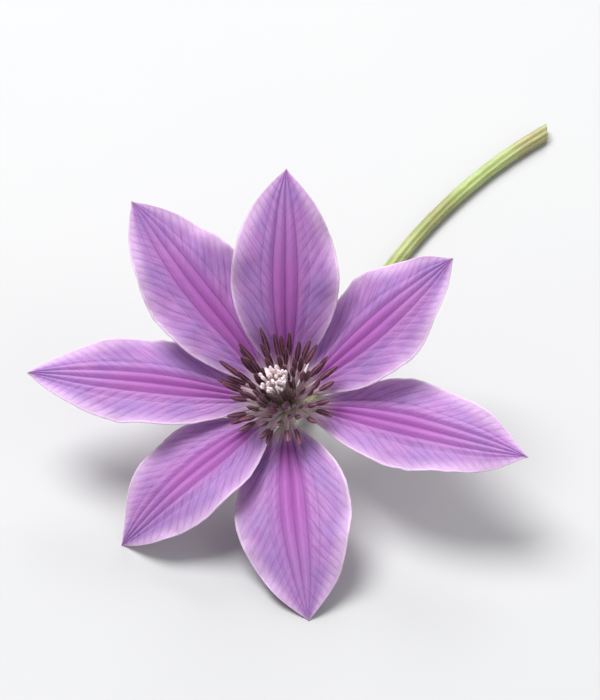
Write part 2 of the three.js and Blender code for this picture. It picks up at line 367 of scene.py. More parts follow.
# Names that end in Start, End or Ends hold where something begins and where it is complete, as
# shares of the blade's length or half width. Those that end in Fade hold the power by which it fades.
blade = {
    "columns": 104,
    "rows": 150,
    "crowding": 0.28,             # how much closer the columns stand in the middle
    "clawRadius": 3.56,
    "rootLength": 0.95,           # how far the claw runs on into the receptacle
    "rootThickness": 0.8,
    "rootThicknessEnds": (-0.02, 0.12),
    "rootTaper": 0.5,             # how much of its thickness and width the hidden root loses
    "rootTaperEnds": (-0.028, 0.022),
    "midThickness": 0.36,
    "edgeThickness": 0.17,
    "rimBulge": 0.35,             # how far the rim stands out, as a share of the thickness
    "sink": 0.14,                 # the thin blade lies this far below the solid's middle
    "clawHalfWidth": 1.1,
    "clawFade": 4,
    "tipHalfWidth": 0.36,
    "tipFade": 6,
    "tipPoint": 0.7,              # how much of the tip's width its point loses
    "tipPointFrom": 0.955,
    "shoulder": 1.05,             # how slim the outline starts
    "outerFullness": 0.38,        # how much fuller it gets on its way out
    "tipDraw": 0.45,              # how much slimmer again at the tip
    "tipDrawFade": 10,
    "pleatDepth": 0.16,
    "pleatPitch": 0.22,           # pleats and main veins stand this far apart
    "pleatReach": 0.55,
    "pleatStart": (-0.01, 0.1),
    "veinWander": 0.04,           # how far the veins stray to the side, as a share of the half width
    "veinDepth": 0.14,
    "veinWidth": 0.03,
    "ribHeight": 0.24,            # the same veins stand out below
    "ribWidth": 0.045,
    "ribStart": (0.01, 0.12),
    "cupping": 0.018,
    "cupReversal": 1.5,           # above 1, the blade arches the other way near its tip
    "marginWaves": 2.6,           # how many there are along a margin
    "marginOffset": 2.2,          # how far one margin's waves are ahead of the other's
    "waveSharpness": 2.2,
    "waveStart": (0.25, 0.6),
    "crinkle": 0.17,
    "crinkleScale": 0.42,
    "crinkleStart": (0.1, 0.5),
    "frill": 0.2,                 # a fine ripple at the margin
    "frillScale": 0.55,
    "flutter": 0.75,              # a slow uneven one
    "flutterScale": 0.19,
    "flutterStart": (0.38, 0.62),
    "raggedness": 0.13,
    "branchRise": 1.75,           # branch veins rise this much along for each step out
    "branchCurve": 0.93,
    "branchPitch": 1.9,
    "branchDepth": 0.06,
    "branchFlank": (0.58, 1),     # foot and crest of a vein, counted from 0 between two of them
    "branchDrift": 1.3,
    "branchDriftScale": 0.16,
    "branchStart": (0.2, 0.34),
    "branchEnd": (0.86, 1),
    "nearTable": 1,               # points lower than this are kept above the table
}


def bladeHalfWidth(tepal, u, side):
    # side is -1 or 1 at a margin, which is ragged in its own way, and 0 between them
    u = max(u, 0)
    claw = blade["clawHalfWidth"] * (1 - u) ** blade["clawFade"]
    slimness = blade["shoulder"] - blade["outerFullness"] * u + blade["tipDraw"] * u ** blade["tipDrawFade"]
    belly = math.sin(math.pi * min(u, 1)) ** slimness
    pointed = 1 - blade["tipPoint"] * ease(u, blade["tipPointFrom"], 1)
    tip = blade["tipHalfWidth"] * u ** blade["tipFade"] * pointed
    coarse = noise.noise((u * 11, side * 7.7, tepal["azimuth"]))
    fine = noise.noise((u * 34, side * 3.1, tepal["azimuth"]))
    ragged = blade["raggedness"] * (coarse + 0.5 * fine) * math.sin(math.pi * u)
    return claw + tepal["width"] / 2 * belly + tip + ragged


def bladeStations(tepal):
    # where each row of the blade stands on its midline: along, reach, rise and climb
    claw, middle, tip = [math.radians(angle) for angle in tepal["climb"]]
    root = blade["rootLength"] / tepal["length"]
    step = (1 + root) / blade["rows"]
    climbAt = lambda u: (1 - u) ** 2 * claw + 2 * u * (1 - u) * middle + u ** 2 * tip if u > 0 else claw
    reach = blade["clawRadius"] - blade["rootLength"] * math.cos(claw)
    rise = -blade["rootLength"] * math.sin(claw)
    stations = []
    for row in range(blade["rows"] + 1):
        u = row * step - root
        stations.append((u, reach, rise, climbAt(u)))
        midway = climbAt(u + step / 2)
        reach += math.cos(midway) * step * tepal["length"]
        rise += math.sin(midway) * step * tepal["length"]
    return stations


def branchVeins(tepal, outMm, alongMm, side):
    # 1 on a branch vein, 0 between them; they leave the outer main veins and rise to the margin
    scale = blade["branchDriftScale"]
    layer = tepal["phase"] + (3 if side < 0 else 0)
    drift = blade["branchDrift"] * noise.noise((outMm * scale, alongMm * scale, layer))
    run = alongMm - blade["branchRise"] * outMm ** blade["branchCurve"] + drift
    apart = abs((run / blade["branchPitch"]) % 1 - 0.5) * 2
    return ease(apart, *blade["branchFlank"])


def mainVeins(v, width):
    side = abs(v)
    share = lambda place: math.exp(-(((side - place) / width) ** 2))
    return share(0) + 0.9 * share(blade["pleatPitch"]) + 0.45 * share(2 * blade["pleatPitch"])


def strayed(tepal, v, u):
    # pleats and veins are never quite straight or even
    slow = noise.noise((u * 2.1, tepal["azimuth"], 0))
    uneven = noise.noise((u * 2.7, tepal["azimuth"], v * 1.4))
    return v + blade["veinWander"] * (slow + 0.5 * uneven) * (1 - v * v) * ease(u, 0, 0.2)


def marginMoves(tepal, u, v, across):
    # how far waves, crinkles, the fine frill and the slow flutter lift the blade
    inside = min(max(u, 0), 1)
    side = abs(v)
    sign = -1 if v < 0 else 1
    body = math.sin(math.pi * inside)
    alongMm = inside * tepal["length"]
    swell = ease(u, *blade["waveStart"]) * (1 - inside ** 8) * side ** blade["waveSharpness"]
    phase = tepal["phase"] + (blade["marginOffset"] if v < 0 else 0)
    wave = tepal["wave"] * swell * math.sin(math.tau * blade["marginWaves"] * inside + phase)
    spread = Vector((across, alongMm, tepal["azimuth"])) * blade["crinkleScale"]
    crinkle = blade["crinkle"] * ease(side, *blade["crinkleStart"]) * body * noise.noise(spread)
    ripple = noise.noise((sign * 9, alongMm * blade["frillScale"], tepal["azimuth"]))
    frill = blade["frill"] * side ** 5 * body * ripple
    sway = noise.noise((sign * 5, alongMm * blade["flutterScale"], tepal["azimuth"] * 1.3))
    flutter = blade["flutter"] * side ** 2.6 * ease(u, *blade["flutterStart"]) * (1 - inside ** 6) * sway
    return wave + crinkle + frill + flutter


def bladeSpot(tepal, station, v, face):
    # face is 1 on the upper side, 0 below, and 0.5 on the rim between them
    u, reach, rise, climb = station
    inside = min(max(u, 0), 1)
    side = abs(v)
    sign = -1 if v < 0 else 1
    across = v * lerp(bladeHalfWidth(tepal, u, 0), bladeHalfWidth(tepal, u, sign), side ** 4)
    body = math.sin(math.pi * inside)
    thickness = lerp(blade["midThickness"], blade["edgeThickness"], side ** 1.5)
    thickness = lerp(blade["rootThickness"], thickness, ease(u, *blade["rootThicknessEnds"]))
    settled = lerp(1 - blade["rootTaper"], 1, ease(u, *blade["rootTaperEnds"]))
    thickness *= settled
    across *= lerp(settled, 1, 0.5)
    veinV = strayed(tepal, v, u)
    fadeOut = 1 - ease(side, blade["pleatPitch"], blade["pleatReach"])
    pleat = -blade["pleatDepth"] * fadeOut * math.cos(math.tau * veinV / blade["pleatPitch"]) * body ** 0.5
    pleat *= ease(u, *blade["pleatStart"])
    cup = blade["cupping"] * (1 - blade["cupReversal"] * inside) * across ** 2
    lift = pleat + cup + marginMoves(tepal, u, v, across) - blade["sink"]
    if face == 1:
        lift += thickness / 2 - blade["veinDepth"] * mainVeins(veinV, blade["veinWidth"]) * body ** 0.4
        branches = ease(side, *blade["branchStart"]) * (1 - ease(side, *blade["branchEnd"])) * body
        branches *= branchVeins(tepal, abs(across), inside * tepal["length"], v)
        lift -= blade["branchDepth"] * branches
    elif face == 0:
        ribs = mainVeins(veinV, blade["ribWidth"]) * (1 - inside) ** 0.6 * ease(u, *blade["ribStart"])
        lift -= thickness / 2 + blade["ribHeight"] * ribs
    elif side > 0.999:
        across += sign * thickness * blade["rimBulge"]
    elif u > 0.5:
        reach += thickness * blade["rimBulge"] * math.cos(climb)
        rise += thickness * blade["rimBulge"] * math.sin(climb)
    roll = math.radians(tepal["roll"])
    sideways = across * math.cos(roll) - lift * math.sin(roll)
    upwards = across * math.sin(roll) + lift * math.cos(roll)
    spot = Vector((
        reach - upwards * math.sin(climb),
        sideways + tepal["sweep"] * tepal["length"] * u * abs(u),
        rise + upwards * math.cos(climb),
    ))
    turned = Matrix.Rotation(math.radians(tepal["azimuth"]), 4, "Z")
    return bloom @ turned @ spot


def buildTepal(tepal, materials):
    rows = blade["rows"]
    bm = bmesh.new()
    shapeMap = bm.loops.layers.uv.new("bladeMap")   # across and along, as shares
    spreadMap = bm.loops.layers.uv.new("bladeMm")   # across and along, in millimetres
    veins = bm.verts.layers.float.new("branches")
    bmesh.ops.create_grid(bm, x_segments=blade["columns"], y_segments=rows, size=1)
    raised = bmesh.ops.extrude_face_region(bm, geom=bm.faces[:], use_keep_orig=True)
    upper = [g for g in raised["geom"] if isinstance(g, bmesh.types.BMVert)]
    bmesh.ops.translate(bm, vec=(0, 0, 1), verts=upper)
    upright = [edge for edge in bm.edges if abs(edge.verts[0].co.z - edge.verts[1].co.z) > 0.5]
    bmesh.ops.subdivide_edges(bm, edges=upright, cuts=1)
    stations = bladeStations(tepal)
    spots = {}
    for vert in bm.verts:
        x = vert.co.x
        v = x * (1 - blade["crowding"] + blade["crowding"] * x * x)
        side = 1 if vert.co.z > 0.9 else 0 if vert.co.z < 0.1 else 0.5
        spots[vert] = (v, round((vert.co.y + 1) / 2 * rows), side)
    for face in bm.faces:
        face.material_index = 0 if all(spots[vert][2] == 1 for vert in face.verts) else 1
        for loop in face.loops:
            v, row, side = spots[loop.vert]
            u = stations[row][0]
            loop[shapeMap].uv = (strayed(tepal, v, u) / 2 + 0.5, u)
            loop[spreadMap].uv = (v * bladeHalfWidth(tepal, u, 0), u * tepal["length"] + tepal["azimuth"])
    for vert, (v, row, side) in spots.items():
        vert.co = bladeSpot(tepal, stations[row], v, side)
        if vert.co.z < blade["nearTable"]:
            lowest = bladeSpot(tepal, stations[row], v, 0).z
            vert.co.z = max(vert.co.z + max(0, surfaceGap - lowest), surfaceGap)
        u = max(stations[row][0], 0)
        vert[veins] = branchVeins(tepal, abs(v) * bladeHalfWidth(tepal, u, 0), u * tepal["length"], v)
    makePiece(bm, tepal["name"], materials, tepal["node"])


tepalColours = {
    "lilac": (202, 150, 213),
    "lilacDeep": (180, 119, 196),
    "lilacCool": (182, 144, 209),
    "bar": (196, 113, 200),
    "barDeep": (174, 87, 179),
    "vein": (134, 69, 146),
    # the margin and rim colours are partly the blade's own pale edge and partly painted rim light
    "margin": (234, 202, 238),
    "rim": (250, 234, 248),
    "throat": (234, 216, 226),
    "throatGreen": (198, 204, 164),
    "tip": (204, 168, 188),
    "through": (214, 92, 214),
}

backColours = {
    "pale": (206, 176, 214),
    "paleWarm": (214, 184, 210),
    "flush": (176, 122, 178),
    "rib": (168, 146, 142),
    "rim": (236, 216, 238),
    "green": (178, 192, 126),
}

tissue = {
    "fanSlope": 1.6,     # the slope of the branch veins in the patterns
    "netScale": 1.15,
    "through": 0.34,     # the share of light that comes through a blade
}


def bladeSpots(tree):
    # where a point lies on its blade, as shares of width and length, and in millimetres
    x, along = split(tree, mapOf(tree, "bladeMap"), "XY")
    across = calc(tree, "MULTIPLY_ADD", x, 2.0, -1.0)
    spread = mapOf(tree, "bladeMm")
    acrossMm, alongMm = split(tree, spread, "XY")
    outMm = calc(tree, "ABSOLUTE", acrossMm)
    fanAlong = less(tree, alongMm, product(tree, outMm, tissue["fanSlope"]))
    return across, along, spread, acrossMm, alongMm, outMm, fanAlong


def velvetMaterial(colours):
    # the upper side: lilac blade, magenta bar over the sunk veins, pale margins whitened with painted rim
    # light, and a pale throat
    material, tree = newTree("tepalVelvet")
    across, along, spread, acrossMm, alongMm, outMm, fanAlong = bladeSpots(tree)
    side = calc(tree, "ABSOLUTE", across)
    # broad cloudiness, then streaks that run with the veins
    cloud = fade(tree, grain(tree, spread, 0.17, 3.0), 0.36, 0.64)
    streak = streaks(tree, acrossMm, 2.6, alongMm, 0.22)
    fanStreak = streaks(tree, outMm, 0.3, fanAlong, 1.5)
    body = paintOver(tree, cloud, colours["lilac"], colours["lilacCool"])
    body = paintOver(tree, fade(tree, fanStreak, 0.42, 0.7, 0, 0.7), body, colours["lilacDeep"])
    # the bar fades out raggedly along the veins
    frayed = fray(tree, side, streak, 0.34)
    bar = product(tree, fade(tree, frayed, 0.52, 0.08), fade(tree, along, 0.02, 0.16))
    bar = product(tree, bar, fade(tree, along, 0.98, 0.45), 0.85)
    body = paintOver(tree, bar, body, colours["bar"])
    ridge = product(tree, fade(tree, frayed, 0.3, 0.02), fade(tree, along, 0.8, 0.15), 0.5)
    body = paintOver(tree, ridge, body, colours["barDeep"])
    # pale margins, broader towards the tip: partly the blade's own pale edge and partly painted rim light
    edge = total(tree, fray(tree, side, fanStreak, 0.2), fade(tree, along, 0.45, 0.95, 0, 0.24))
    body = paintOver(tree, fade(tree, edge, 0.7, 1.06, 0, 0.8), body, colours["margin"])
    # a near-white line at the very edge: painted rim light over the pale margin
    body = paintOver(tree, fade(tree, side, 0.94, 0.99, 0, 0.8), body, colours["rim"])
    # veins
    middle = fade(tree, side, 0.0, 0.032, 1, 0)
    outer = fade(tree, distanceFrom(tree, side, blade["pleatPitch"]), 0.0, 0.026, 1, 0)
    far = fade(tree, distanceFrom(tree, side, 2 * blade["pleatPitch"]), 0.0, 0.02, 0.5, 0)
    mains = product(tree, total(tree, middle, outer, far), fade(tree, along, 1.0, 0.75))
    branch = product(tree, attribute(tree, "branches"), fade(tree, side, 0.18, 0.34))
    branch = product(tree, branch, fade(tree, side, 1.0, 0.8))
    mesh = cells(tree, join(tree, outMm, fanAlong, across), tissue["netScale"])
    net = product(tree, fade(tree, mesh, 0.0, 0.09, 1, 0), fade(tree, side, 0.1, 0.4))
    net = product(tree, net, fade(tree, along, 0.02, 0.2))
    for veins, strength in ((mains, 0.62), (branch, 0.3), (net, 0.16)):
        body = paintOver(tree, product(tree, veins, strength), body, colours["vein"])
    # throat and tip
    throat = fade(tree, fray(tree, along, streak, 0.16), 0.16, 0.02)
    body = paintOver(tree, product(tree, throat, 0.8), body, colours["throat"])
    body = paintOver(tree, fade(tree, along, 0.07, 0.0, 0, 0.7), body, colours["throatGreen"])
    body = paintOver(tree, fade(tree, along, 0.965, 1.0, 0, 0.6), body, colours["tip"])
    # relief too fine for the mesh: netted cushions between veins and the velvet's own cells
    cushion = fade(tree, mesh, 0.0, 0.45)
    velvetCells = grain(tree, spread, 11.0, 2.0, 0.7)
    height = total(
        tree, product(tree, cushion, 0.02), product(tree, velvetCells, 0.014), product(tree, branch, -0.012),
    )
    roughness = fade(tree, grain(tree, spread, 1.4), 0.3, 0.7, 0.46, 0.6)
    warmer = paintOver(tree, 0.5, body, colours["through"], "MULTIPLY")
    surface(
        tree, body, roughness, bumpFrom(tree, height), through=tissue["through"], throughColour=warmer,
        Sheen_Weight=0.22, Sheen_Roughness=0.45, Sheen_Tint=(0.9, 0.72, 1, 1), Specular_IOR_Level=0.34,
    )
    return material


def backMaterial(colours):
    # the lower side: paler, matt and downy, with a flushed band over the three ribs
    material, tree = newTree("tepalBack")
    across, along, spread, acrossMm, alongMm, outMm, fanAlong = bladeSpots(tree)
    side = calc(tree, "ABSOLUTE", across)
    streak = streaks(tree, acrossMm, 2.2, alongMm, 0.25)
    cloud = fade(tree, grain(tree, spread, 0.2, 3.0), 0.36, 0.64)
    body = paintOver(tree, cloud, colours["pale"], colours["paleWarm"])
    band = fade(tree, fray(tree, side, streak, 0.4), 0.5, 0.08)
    body = paintOver(tree, product(tree, band, 0.7), body, colours["flush"])
    middle = fade(tree, side, 0.0, 0.045, 1, 0)
    outer = fade(tree, distanceFrom(tree, side, blade["pleatPitch"]), 0.0, 0.04, 0.9, 0)
    ribs = product(tree, total(tree, middle, outer), fade(tree, along, 1.0, 0.3), 0.65)
    body = paintOver(tree, ribs, body, colours["rib"])
    layer = calc(tree, "MULTIPLY_ADD", across, 0.5, 0.5)
    mesh = cells(tree, join(tree, outMm, fanAlong, layer), tissue["netScale"])
    net = fade(tree, mesh, 0.0, 0.1, 1, 0)
    branch = product(tree, attribute(tree, "branches"), fade(tree, side, 0.2, 0.34))
    veins = total(tree, product(tree, branch, 0.3), product(tree, net, 0.14))
    body = paintOver(tree, veins, body, colours["flush"])
    body = paintOver(tree, fade(tree, side, 0.93, 1.0, 0, 0.7), body, colours["rim"])
    body = paintOver(tree, fade(tree, along, 0.17, 0.01, 0, 0.95), body, colours["green"])
    down = streaks(tree, acrossMm, 14.0, alongMm, 3.0, 2.0)
    height = total(tree, product(tree, down, 0.03), product(tree, branch, 0.02), product(tree, net, 0.012))
    surface(
        tree, body, 0.68, bumpFrom(tree, height), through=tissue["through"],
        Sheen_Weight=0.3, Sheen_Roughness=0.5, Sheen_Tint=(1, 0.94, 1, 1), Specular_IOR_Level=0.25,
    )
    return material


velvet = velvetMaterial(palette(tepalColours))
tepalBack = backMaterial(palette(backColours))
for tepal in tepals:
    buildTepal(tepal, [velvet, tepalBack])
print("tepals done")


# Stamens and styles grow from rings round the axis, each a little off its place. A ring's lean is
# their angle from the axis, at the foot and at the tip. Turn, tilt and stretch say how far off they are.
drawState = {"seed": 20261.0}


def draw():
    # the solids' own seeded draw between -1 and 1, so that every stamen stands where they have it
    drawState["seed"] = math.fmod(drawState["seed"] * 1103515245.0 + 12345.0, 2147483648.0)
    return drawState["seed"] / 2147483648.0 * 2 - 1


def ringShoots(settings):
    # the shoots that the solids have too
    shoots = []
    for index, ring in enumerate(settings["rings"]):
        for i in range(ring["count"]):
            place = (i + index / 2) / ring["count"]
            azimuth = place * math.tau + math.radians(settings["turn"] * draw())
            leanMore = settings["tilt"] * draw()
            length = ring["length"] * (1 + settings["stretch"] * draw())
            foot, tip = [math.radians(lean + leanMore) for lean in ring["lean"]]
            shoots.append({"azimuth": azimuth, "radius": ring["radius"], "height": ring["height"],
                           "length": length, "leanFoot": foot, "leanTip": tip})
    return shoots


def fillerShoots(settings, chance):
    # more shoots between them
    loose = settings["loose"]
    shoots = []
    for index, ring in enumerate(settings["fillers"]):
        for i in range(ring["count"]):
            place = (i + loose["offset"] + index / loose["stagger"]) / ring["count"]
            shoots.append({
                "azimuth": place * math.tau + chance.uniform(*loose["turn"]),
                "radius": ring["radius"],
                "height": ring["height"],
                "length": ring["length"] * chance.uniform(*loose["stretch"]),
                "leanFoot": math.radians(ring["lean"][0] + chance.uniform(*loose["leanFoot"])),
                "leanTip": math.radians(ring["lean"][1] + chance.uniform(*loose["leanTip"])),
            })
    return shoots


def shootPoint(shoot, t):
    # a curve that leaves the ring at one lean and ends at another
    outwards = levelHeading(shoot["azimuth"])
    heading = lambda lean: Vector((0, 0, math.cos(lean))) + outwards * math.sin(lean)
    foot = outwards * shoot["radius"] + Vector((0, 0, shoot["height"]))
    bend = foot + heading(shoot["leanFoot"]) * shoot["length"] / 2
    tip = bend + heading(shoot["leanTip"]) * shoot["length"] / 2
    return foot * (1 - t) ** 2 + bend * 2 * t * (1 - t) + tip * t ** 2


swayShifts = (0, 31.4, 67.8)    # places in the noise, one for each way that a shoot strays


def swayingCurve(shoot, sway):
    # living shoots are never quite straight
    def at(t):
        where = Vector((shoot["azimuth"] * 3.3, t * 1.6, shoot["length"] * 5))
        wander = Vector([noise.noise(where + Vector((shift, 0, 0))) for shift in swayShifts])
        return bloom @ (shootPoint(shoot, t) + wander * sway * t)

    return at


stamen = {
    "rings": [
        {"count": 11, "radius": 2.05, "height": 1.9, "length": 8.4, "lean": (9, 4)},
        {"count": 12, "radius": 2.2, "height": 1.7, "length": 9, "lean": (28, 15)},
        {"count": 14, "radius": 2.45, "height": 1.4, "length": 9.6, "lean": (50, 32)},
    ],
    "turn": 5, "tilt": 4, "stretch": 0.06,
    "fillers": [
        {"count": 10, "radius": 1.75, "height": 2.1, "length": 7.4, "lean": (6, 2)},
        {"count": 12, "radius": 2.1, "height": 1.8, "length": 8.7, "lean": (18, 10)},
        {"count": 13, "radius": 2.35, "height": 1.5, "length": 9.2, "lean": (39, 24)},
        {"count": 9, "radius": 2.5, "height": 1.3, "length": 8.3, "lean": (58, 42)},
    ],
    "loose": {"offset": 0.3, "stagger": 3, "turn": (-0.09, 0.09), "stretch": (0.93, 1.05),
              "leanFoot": (-4, 4), "leanTip": (-5, 5)},
    "seed": 7,
    "sway": 0.5,
    "twist": 25,
    "filamentWidth": 0.74,
    "filamentDepth": 0.32,
    "filamentTaper": (1.15, 0.72),
    "filamentRows": 12,
    "filamentSides": 10,
    "filamentOverlap": 0.05,      # how far it runs up into the anther
    "antherFrom": 0.46,
    "antherWidth": 0.96,
    "antherDepth": 0.78,
    "antherFullness": 0.42,
    "antherTaper": 0.3,
    "slitDepth": 0.2,             # between the two sacs of a side, where they split open
    "grooveDepth": 0.52,          # over the connective
    "antherRows": 18,
    "antherSides": 18,
    "collarProfile": [(1.05, 0.5), (2.75, 0.5), (2.78, 1.2), (2.7, 1.7), (2.2, 2.3), (1.6, 2.5),
                      (1.05, 2.6)],
    "collarSides": 48,
}


def buildStamen(bm, mapLayer, shoot, twistShare):
    at = swayingCurve(shoot, stamen["sway"])
    inwards = bloom.to_3x3() @ levelHeading(shoot["azimuth"])
    # filament: a strap that is wider at its foot
    rows = stamen["filamentRows"]
    path = ringsAlong(at, 0.0, stamen["antherFrom"] + stamen["filamentOverlap"], rows, True)

    def strap(turn, along, row):
        if row in (0, len(path) - 1):
            return 0, 0
        width = stamen["filamentWidth"] / 2 * lerp(*stamen["filamentTaper"], along)
        return width * math.cos(turn), stamen["filamentDepth"] / 2 * math.sin(turn)

    growTube(bm, path, strap, stamen["filamentSides"], mapLayer, 0, inwards)
    # anther: two pollen sacs on each side of the connective
    twist = math.radians(twistShare * stamen["twist"])
    antherPath = ringsAlong(at, stamen["antherFrom"], 1.0, stamen["antherRows"], False)

    def sacs(turn, along, row):
        if row in (0, len(antherPath) - 1):
            return 0, 0
        taper = 1.02 - stamen["antherTaper"] * along * along
        swell = min(1, math.sin(math.pi * along) ** stamen["antherFullness"] * taper)
        wide, deep = math.cos(turn), math.sin(turn)
        x = stamen["antherWidth"] / 2 * wide * (1 - stamen["slitDepth"] * abs(wide) ** 12)
        y = stamen["antherDepth"] / 2 * deep * (1 - stamen["grooveDepth"] * abs(deep) ** 6)
        turned = twist * along
        return (
            swell * (x * math.cos(turned) - y * math.sin(turned)),
            swell * (x * math.sin(turned) + y * math.cos(turned)),
        )

    growTube(bm, antherPath, sacs, stamen["antherSides"], mapLayer, 1, inwards)


def buildCollar(bm, material):
    # a ring that closes on itself: its profile is spun round the bloom's axis
    profile = stamen["collarProfile"]
    corners = [bm.verts.new(bloom @ Vector((radius, 0, height))) for radius, height in profile]
    edges = [bm.edges.new((a, b)) for a, b in zip(corners, corners[1:] + corners[:1])]
    bmesh.ops.spin(
        bm, geom=corners + edges, cent=bloom.translation, axis=bloomAxis,
        angle=math.tau, steps=stamen["collarSides"], use_merge=True,
    )
    bmesh.ops.remove_doubles(bm, verts=bm.verts, dist=mergeGap)
    for face in bm.faces:
        face.material_index = material


def buildStamens(materials):
    bm = bmesh.new()
    mapLayer = bm.loops.layers.uv.new("shootMap")
    buildCollar(bm, 2)
    chance = random.Random(stamen["seed"])
    for shoot in ringShoots(stamen) + fillerShoots(stamen, chance):
        buildStamen(bm, mapLayer, shoot, chance.uniform(-1, 1))
    makePiece(bm, "stamenBrush", materials, "stamens")


stamenColours = {
    "filament": (244, 226, 232),
    "filamentFoot": (246, 242, 226),
    "filamentTop": (206, 162, 186),
    "sac": (92, 46, 72),
    "sacDark": (62, 30, 52),
    "sacWarm": (120, 66, 84),
    "connective": (176, 128, 148),
    "pollen": (226, 206, 168),
}


def filamentMaterial(colours):
    material, tree = newTree("filament")
    turn, along = split(tree, mapOf(tree, "shootMap"), "XY")
    streak = streaks(tree, turn, 9.0, along, 1.2, 2.0, 0.5)
    body = paintOver(tree, fade(tree, along, 0.0, 0.5), colours["filamentFoot"], colours["filament"])
    body = paintOver(tree, fade(tree, along, 0.62, 1.0, 0, 0.7), body, colours["filamentTop"])
    body = paintOver(tree, fade(tree, streak, 0.45, 0.75, 0, 0.22), body, colours["filamentTop"])
    fine = grain(tree, objectSpot(tree), 9.0, 2.0)
    height = total(tree, product(tree, fine, 0.015), product(tree, streak, 0.02))
    surface(tree, body, 0.48, bumpFrom(tree, height), through=0.15, Specular_IOR_Level=0.4)
    return material


def antherMaterial(colours):
    material, tree = newTree("anther")
    turn = split(tree, mapOf(tree, "shootMap"), "X")[0]
    spot = objectSpot(tree)
    warm = fade(tree, grain(tree, spot, 0.5, 2.0), 0.4, 0.62)
    dark = fade(tree, grain(tree, spot, 3.0, 3.0), 0.45, 0.72, 0, 0.6)
    body = paintOver(tree, warm, colours["sac"], colours["sacWarm"])
    body = paintOver(tree, dark, body, colours["sacDark"])
    # turn is 0.25 or 0.75 on the connective, and 0, 0.5 or 1 where the sacs split
    toMiddle = distanceFrom(tree, calc(tree, "PINGPONG", turn, 0.5), 0.25)
    toSlit = less(tree, 0.25, toMiddle)
    body = paintOver(tree, fade(tree, toMiddle, 0.0, 0.045, 0.75, 0), body, colours["connective"])
    ripe = fade(tree, grain(tree, spot, 0.33, 1.0), 0.5, 0.6)
    patchy = fade(tree, grain(tree, spot, 5.0, 2.0), 0.38, 0.55)
    slit = product(tree, fade(tree, toSlit, 0.0, 0.03, 1, 0), patchy, ripe)
    body = paintOver(tree, product(tree, slit, 0.8), body, colours["pollen"])
    grains = fade(tree, cells(tree, spot, 9.0, "F1"), 0.28, 0.16)
    dust = product(tree, grains, fade(tree, grain(tree, spot, 1.1, 2.0), 0.5, 0.66))
    body = paintOver(tree, product(tree, dust, 0.65), body, colours["pollen"])
    height = total(tree, product(tree, grain(tree, spot, 8.0, 3.0), 0.05), product(tree, dust, 0.03))
    surface(
        tree, body, 0.55, bumpFrom(tree, height),
        Sheen_Weight=0.12, Sheen_Roughness=0.5, Sheen_Tint=(1, 0.8, 0.9, 1), Specular_IOR_Level=0.4,
    )
    return material


def downyGreenMaterial():
    # the skin under the stamens and on the carpels
    material, tree = newTree("downyGreen")
    spot = objectSpot(tree)
    mottle = fade(tree, grain(tree, spot, 1.2, 3.0), 0.4, 0.6)
    body = paintOver(tree, mottle, tint(150, 162, 100), tint(180, 184, 132))
    height = product(tree, grain(tree, spot, 7.0, 3.0), 0.08)
    surface(tree, body, 0.7, bumpFrom(tree, height), Sheen_Weight=0.3, Sheen_Roughness=0.5)
    return material


filament = filamentMaterial(palette(stamenColours))
anther = antherMaterial(palette(stamenColours))
downyGreen = downyGreenMaterial()
buildStamens([filament, anther, downyGreen])
print("stamens done")


# Pistil: a heap of small downy carpels, each with its long silky style.
pistil = {
    "rings": [
        {"count": 1, "radius": 0, "height": 2.6, "length": 9.6, "lean": (0, 4)},
        {"count": 6, "radius": 0.45, "height": 2.4, "length": 9.6, "lean": (0, 8)},
        {"count": 9, "radius": 0.78, "height": 2, "length": 9.8, "lean": (0, 10)},
    ],
    "turn": 6, "tilt": 2, "stretch": 0.05,
    "fillers": [
        {"count": 5, "radius": 0.3, "height": 2.5, "length": 9.8, "lean": (0, 7)},
        {"count": 10, "radius": 0.66, "height": 2.2, "length": 9.7, "lean": (0, 9)},
        {"count": 12, "radius": 0.9, "height": 1.9, "length": 9.5, "lean": (0, 12)},
    ],
    "loose": {"offset": 0.4, "stagger": 2, "turn": (-0.15, 0.15), "stretch": (0.92, 1.03),
              "leanFoot": (-1, 2), "leanTip": (-5, 4)},
    "seed": 11,
    "sway": 0.7,
    "styleRadius": 0.18,
    "styleTaper": (1.15, 0.8),
    "styleTaperEnd": 0.7,
    "stigmaSwelling": 0.85,
    "stigmaEnds": (0.84, 0.94),
    "stigmaRounding": 0.55,
    "stigmaRoundingFrom": 0.975,
    "styleRows": 18,
    "styleSides": 7,
    "hairsPerStyle": 34,
    "hairLength": 0.8,
    "hairStretch": (0.6, 1.1),
    "hairRise": (1.6, 2.6),       # how much more a hair runs up than out
    "hairSink": 0.8,              # the share of the radius at which it is rooted
    "hairThickness": 0.05,
    "carpelLength": 1.9,
    "carpelSpan": (-0.45, 0.8),
    "carpelRadius": 0.42,
    "carpelRows": 8,
    "carpelSides": 10,
    "moundProfile": [(0.0, 0.5), (1.2, 0.5), (1.28, 1.8), (1.1, 2.4), (0.6, 2.8), (0.0, 3.0)],
    "moundSides": 32,
}


